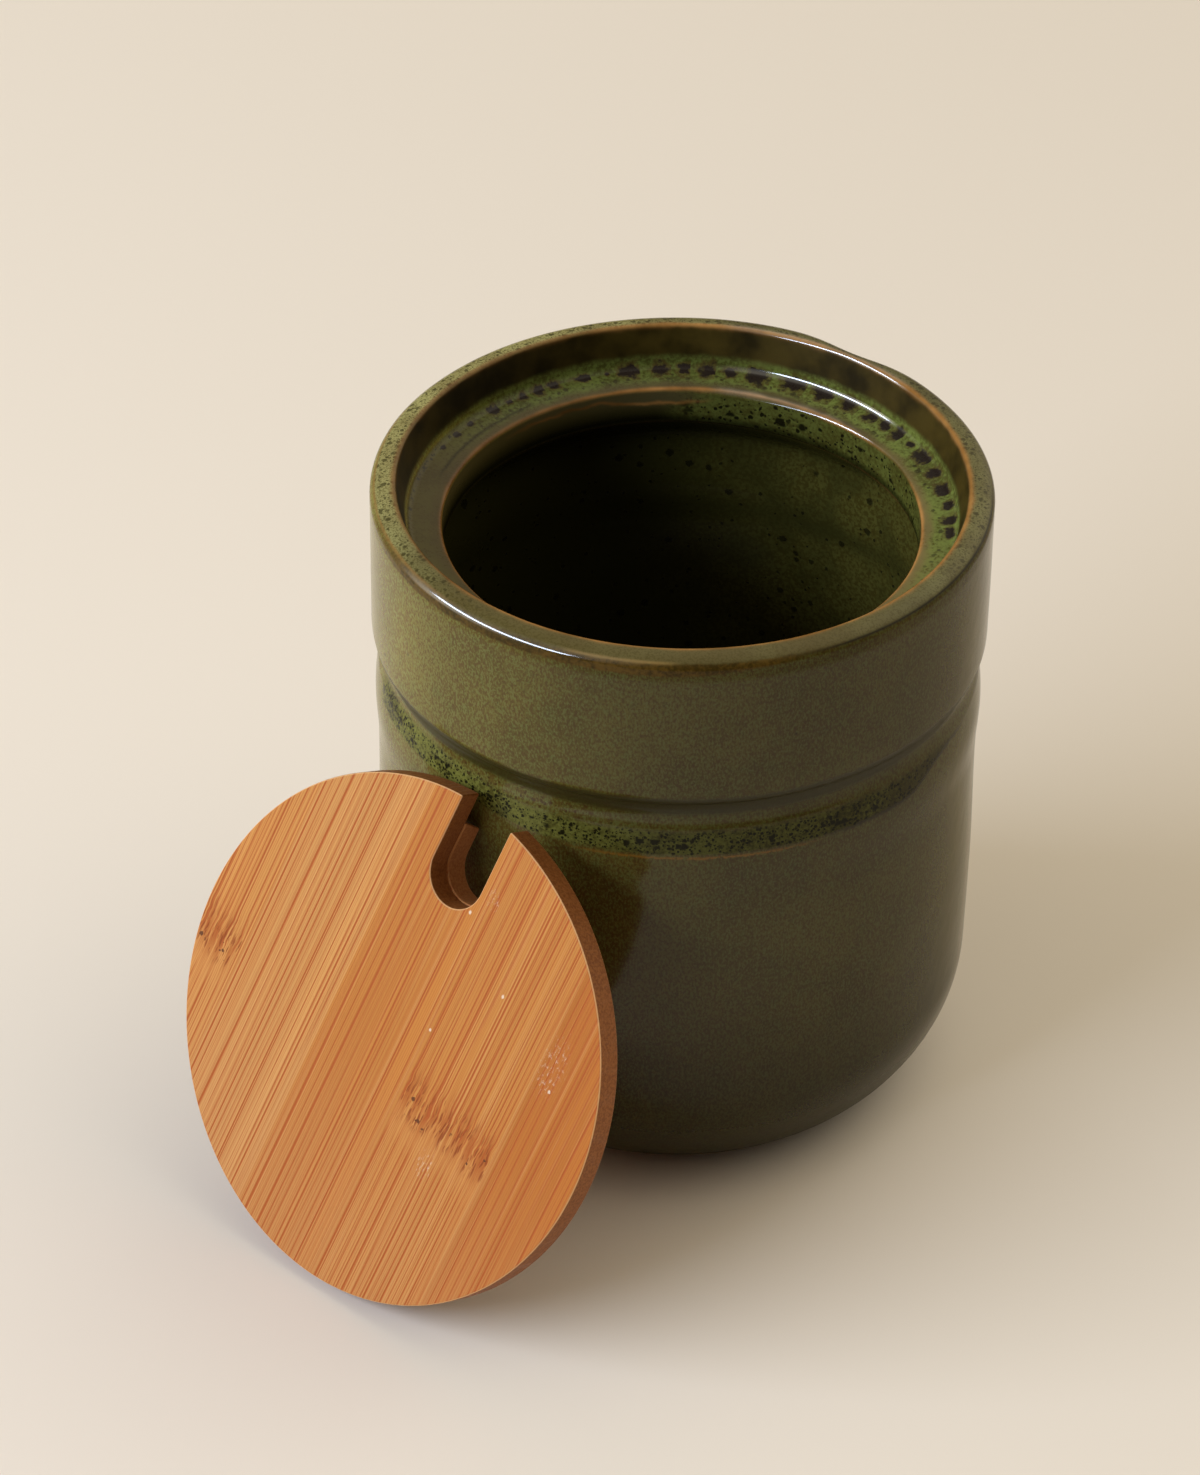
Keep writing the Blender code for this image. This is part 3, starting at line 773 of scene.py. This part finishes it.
def bamboo_material(name, tones, wall_tones, edge_highlight_tone, knuckles, dust, seed):
    """Bamboo board in the lid's own millimetres: strips side by side with long dark fibres,
    knuckles of the stem by a strip's number from the left and a height, and specks and scuffs
    of dust by place and size."""
    made, shader, nodes = start_material(name)
    spot = nodes.node("ShaderNodeTexCoord", output=3)
    lid_frame = lid_place()
    place = nodes.node("ShaderNodeMapping", {"vector_type": 'TEXTURE'},
                       {"Vector": spot, "Location": lid_frame.to_translation(),
                        "Rotation": lid_frame.to_euler()}).stretched((1000.0, 1000.0, 1000.0))
    x, y, z = place.parts()
    way_out = nodes.node("ShaderNodeTexCoord", output=1).along(lid_frame.col[2].to_3d())
    facing = nodes.math('ABSOLUTE', way_out)
    wall = facing.rise(0.55, 0.30)
    # Painted highlight on the rounded edges between the face and the walls.
    edge_highlight = facing.rise(0.97, 0.85) * (1.0 - wall)
    end_grain = place.cloud(0.5, 2.0, 0.6)

    strip = (x - first_strip_side) / strip_width
    strip_number = nodes.math('FLOOR', strip)
    shift = nodes.node("ShaderNodeTexWhiteNoise", {"noise_dimensions": '1D'},
                       {"W": strip_number + seed}, 1).parts()[0]
    fibre_place = nodes.node("ShaderNodeCombineXYZ", {},
                             {0: x, 1: y * 0.011 + shift * 40.0, 2: z + seed})
    dash_place = nodes.node("ShaderNodeCombineXYZ", {},
                            {0: x, 1: y * 0.035 + shift * 17.0, 2: z + seed})
    stops = [((i + 0.02) / len(tones), tone) for i, tone in enumerate(tones)]
    colour = nodes.node("ShaderNodeValToRGB", {"stops": stops}, {0: strip / len(tones)})
    colour.socket.node.color_ramp.interpolation = 'CONSTANT'
    bands = fibre_place.moved((31.0, 0.0, 9.0)).cloud(4.0, 2.0, 0.5)
    veins = fibre_place.moved((7.0, 3.0, 3.0)).cloud(1.1, 2.0, 0.6)
    colour = bands.rise(0.25, 0.75).tint(colour, 0.93, 1.08)
    colour = (veins.rise(0.47, 0.32) * 0.32).mix(colour, vein_pale)
    colour = (veins.rise(0.53, 0.68) * 0.32).mix(colour, vein_dark)
    # Painted sheen: the face is paler towards its lower edge, as if lit from the floor.
    colour = (y.rise(5.0, -46.0) * 0.40).mix(colour, lower_sheen_tan)

    # Knuckles: the fibres crowd, bend and break up there, with a pale smooth zone under them
    crowded = x * 0.0
    pale_zone = x * 0.0
    knot_marks = x * 0.0
    knot_dots = x * 0.0
    redden = x * 0.0
    bend = (place.cloud(5.0, 2.0, 0.5) - 0.5)
    for number, height in knuckles:
        left = first_strip_side + number * strip_width
        right = left + strip_width
        across = x.rise(left - 0.3, left + 0.2) * x.rise(right + 0.3, right - 0.2)
        up = y - height + (fibre_place.cloud(4.0, 1.0, 0.5) - 0.5) * 6.0
        crowded = crowded.most(across * (up.rise(-2.0, 2.0) * up.rise(24.0, 8.0) * 0.6 + 0.5))
        pale_zone = pale_zone.most(across * up.rise(-9.0, -3.5) * up.rise(2.0, -1.0))
        comb_place = nodes.node("ShaderNodeCombineXYZ", {},
                                {0: x + bend * 1.3, 1: y * 0.15, 2: z + seed})
        comb = comb_place.specks(0.46, 0.27, 0.10) * up.rise(-4.0, -1.0) * up.rise(9.0, 1.5)
        dots = place.warped(0.8, 0.5).specks(1.5, 0.44, 0.10) * up.hump(0.3, 2.0).rise(0.2, 0.5)
        knot_marks = knot_marks.most(across * comb)
        knot_dots = knot_dots.most(across * dots)
        redden = redden.most(across * up.hump(2.0, 5.0))

    # Long dark fibres, a few of them strong, close ones beside the knuckles and fine hairs
    wander = fibre_place.cloud(3.0, 1.0, 0.5) + bend * redden * 2.0
    fibre_x = x + wander * 0.9 + seed
    often = dash_place.moved((3.0, 1.0, 0.0)).cloud(2.2, 1.0, 0.5)
    dark_line = fibre_x.rules(1.9, 0.21) * often.rise(0.32, 0.54)
    close_line = (fibre_x + 37.0).rules(0.95, 0.17) * often.rise(0.64, 0.42)
    dark_line = dark_line.most(close_line * (crowded * 0.7 + 0.45))
    dark_line = dark_line.most((fibre_x + 113.0).rules(5.1, 0.27) * 1.15)
    hair_line = (fibre_x + 71.0).rules(0.46, 0.12) * 0.36
    dark_line = dark_line * (1.0 - pale_zone * 0.7)
    colour = (pale_zone * 0.35).mix(colour, knuckle_pale)
    redden = redden * dash_place.cloud(1.0, 2.0, 0.5).rise(0.40, 0.58)
    colour = (redden * 0.85).mix(colour, knuckle_red)
    colour = hair_line.mix(colour, hair_red)
    colour = (dark_line * 0.85).mix(colour, fibre_red)
    colour = (knot_marks * 0.9).mix(colour, knot_dark)
    colour = (knot_dots * 0.9).mix(colour, knot_dot_black)
    scuff = place.stretched((1.0, 0.4, 1.0)).cloud(0.5, 3.0, 0.7).rise(0.52, 0.70)
    for left, up, size in dust:
        off_x = x - left
        off_y = (y - up) * (0.8 if size < scuff_stretch_from else 0.5)
        off = (off_x * off_x + off_y * off_y) ** 0.5 + (end_grain - 0.5) * size
        cover = 0.8 if size < largest_speck else scuff * 0.45
        colour = (off.rise(size, size * 0.4) * cover).mix(colour, dust_pale)

    # Sawn walls are darker, from end grain and from painted shade where they face away from the
    # light, with the fibres running along or ending in them. Their rounded edges get a painted
    # highlight.
    colour = wall.mix(colour, end_grain.rise(0.3, 0.7).mix(*wall_tones))
    colour = (edge_highlight * 0.6).mix(colour, edge_highlight_tone)

    made.node_tree.links.new(colour.socket, shader.inputs["Base Color"])
    rough = 0.50 - dark_line * 0.10 + end_grain * 0.10
    made.node_tree.links.new(rough.socket, shader.inputs["Roughness"])
    shader.inputs["Specular IOR Level"].default_value = 0.2
    relief = (1.0 - dark_line - knot_marks * 0.5) + end_grain * 0.3
    normal = nodes.node("ShaderNodeBump", {}, {"Strength": 0.25, "Distance": 0.00012,
                                               "Height": relief})
    made.node_tree.links.new(normal.socket, shader.inputs["Normal"])
    return made


plate = build_board("bamboo_plate", 0.0, -plate_thickness, plate_radius - facet_ease,
                    plate_radius - facet_ease, slot_width / 2.0)
plate.data.materials.append(bamboo_material(
    "plate_bamboo_wood",
    [(0.585, 0.255, 0.060), (0.580, 0.270, 0.073), (0.503, 0.189, 0.033),
     (0.512, 0.205, 0.040), (0.442, 0.145, 0.020)],
    # The plate's walls, darkened by painted shade, and its edges' painted highlight
    [(0.205, 0.062, 0.013), (0.320, 0.114, 0.030)], (0.800, 0.480, 0.220),
    [(0, -8.5), (3, -7.5)],
    [(4.0, 30.9, 0.40), (7.3, 7.3, 0.34), (17.9, 22.1, 0.42), (35.1, 13.5, 0.40),
     (33.4, 17.5, 3.6), (18.5, -14.6, 2.8), (7.6, 36.0, 2.0)], 0.0))
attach(plate, "lid")
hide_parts("lid_plate")


# The lid's plug: a smaller round of the same board, glued under the plate with its slot in
# line. It narrows a little downwards, so that it drops into the jar's neck.

plug = build_board("bamboo_plug", -plate_thickness, -plate_thickness - glue_line - plug_thickness,
                   plug_radius, plug_radius - plug_taper, slot_width / 2.0 - slot_step)
plug.data.materials.append(bamboo_material(
    "plug_bamboo_wood",
    [(0.540, 0.230, 0.070), (0.520, 0.215, 0.062), (0.580, 0.260, 0.085),
     (0.500, 0.195, 0.055), (0.540, 0.230, 0.070)],
    # The plug's walls, lighter than the plate's, and its edges' fainter painted highlight
    [(0.330, 0.120, 0.036), (0.440, 0.180, 0.060)], (0.420, 0.170, 0.055),
    [(2, 16.0)], [], 50.0))
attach(plug, "lid")
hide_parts("lid_plug")


# The floor: one wide sheet of pale warm paper, matt and without a pattern. The jar's foot ring
# and the lid's lower edge stand on it.

floor_half_width = 2.5
paper_colour = (0.775, 0.690, 0.590)

floor_mesh = bpy.data.meshes.new("paper_floor")
floor_sheet = bmesh.new()
bmesh.ops.create_grid(floor_sheet, x_segments=2, y_segments=2, size=floor_half_width)
floor_sheet.to_mesh(floor_mesh)
floor_sheet.free()
paper_floor = bpy.data.objects.new("paper_floor", floor_mesh)
bpy.context.collection.objects.link(paper_floor)
paper, paper_shader, paper_nodes = start_material("pale_paper")
paper_shader.inputs["Base Color"].default_value = (*paper_colour, 1.0)
paper_shader.inputs["Roughness"].default_value = 0.80
paper_shader.inputs["Specular IOR Level"].default_value = 0.2
paper_floor.data.materials.append(paper)


# Light and camera: a wide low window in front on the left, a warm room that is brightest low on
# the left and at the back on the right, and a long lens that looks down on the jar.

window_bearing = math.radians(-116.0)
window_height = math.radians(32.0)
window_distance = 1.5
window_width = 1.37
window_tallness = 0.25
window_power = 18.4
window_colour = (0.820, 0.955, 1.210)
window_target = Vector((0.0, 0.0, 0.08))
window_light = bpy.data.lights.new("window", 'AREA')
window_light.shape = 'RECTANGLE'
window_light.size = window_width
window_light.size_y = window_tallness
window_light.energy = window_power
window_light.color = window_colour
window = bpy.data.objects.new("window", window_light)
window_way = Vector((math.cos(window_bearing) * math.cos(window_height),
                     math.sin(window_bearing) * math.cos(window_height),
                     math.sin(window_height)))
window.location = window_target + window_way * window_distance
window.rotation_mode = 'QUATERNION'
window.rotation_quaternion = (-window_way).to_track_quat('-Z', 'Y')
bpy.context.collection.objects.link(window)

# The room's glows: bearing, height above the floor and strength of each
room_glows = ((40.7, 15.0, 0.41), (40.7, 50.0, 0.96), (85.7, 15.0, 1.13), (85.7, 50.0, 1.42),
              (130.7, 50.0, 0.48), (-139.3, 15.0, 2.07), (-94.3, 50.0, 0.39), (0.0, 90.0, 0.42))
room_colour = (1.115, 1.030, 0.845)
glow_narrowness = 10.0
room = bpy.data.worlds.new("warm_room")
room.use_nodes = True
room_nodes = Shade(room.node_tree)
way = room_nodes.node("ShaderNodeTexCoord", output=0)
glow = room_nodes.math('ADD', 0.0, 0.0)
for bearing, height, strength in room_glows:
    turn = math.radians(bearing)
    tilt = math.radians(height)
    side = way.along((math.cos(turn) * math.cos(tilt), math.sin(turn) * math.cos(tilt),
                      math.sin(tilt)))
    glow = glow + side.most(0.0) ** glow_narrowness * strength
glow = glow.mix((0.0, 0.0, 0.0), room_colour)
glow.socket.node.clamp_factor = False
room.node_tree.links.new(glow.socket, room.node_tree.nodes["Background"].inputs["Color"])
bpy.context.scene.world = room

camera_place = (0.5407, -0.6293, 0.68625)
camera_bearing = math.radians(41.667)
camera_dip = math.radians(36.732)
camera_roll = math.radians(0.6245)
lens = bpy.data.cameras.new("camera")
lens.sensor_width = 36.0
lens.lens = 134.24
lens.clip_start = 0.05
lens.clip_end = 20.0
camera = bpy.data.objects.new("camera", lens)
camera.matrix_world = (Matrix.Translation(camera_place)
                       @ Matrix.Rotation(camera_bearing, 4, 'Z')
                       @ Matrix.Rotation(math.pi / 2.0 - camera_dip, 4, 'X')
                       @ Matrix.Rotation(camera_roll, 4, 'Z'))
bpy.context.collection.objects.link(camera)
bpy.context.scene.camera = camera
bpy.context.scene.view_settings.view_transform = 'Standard'
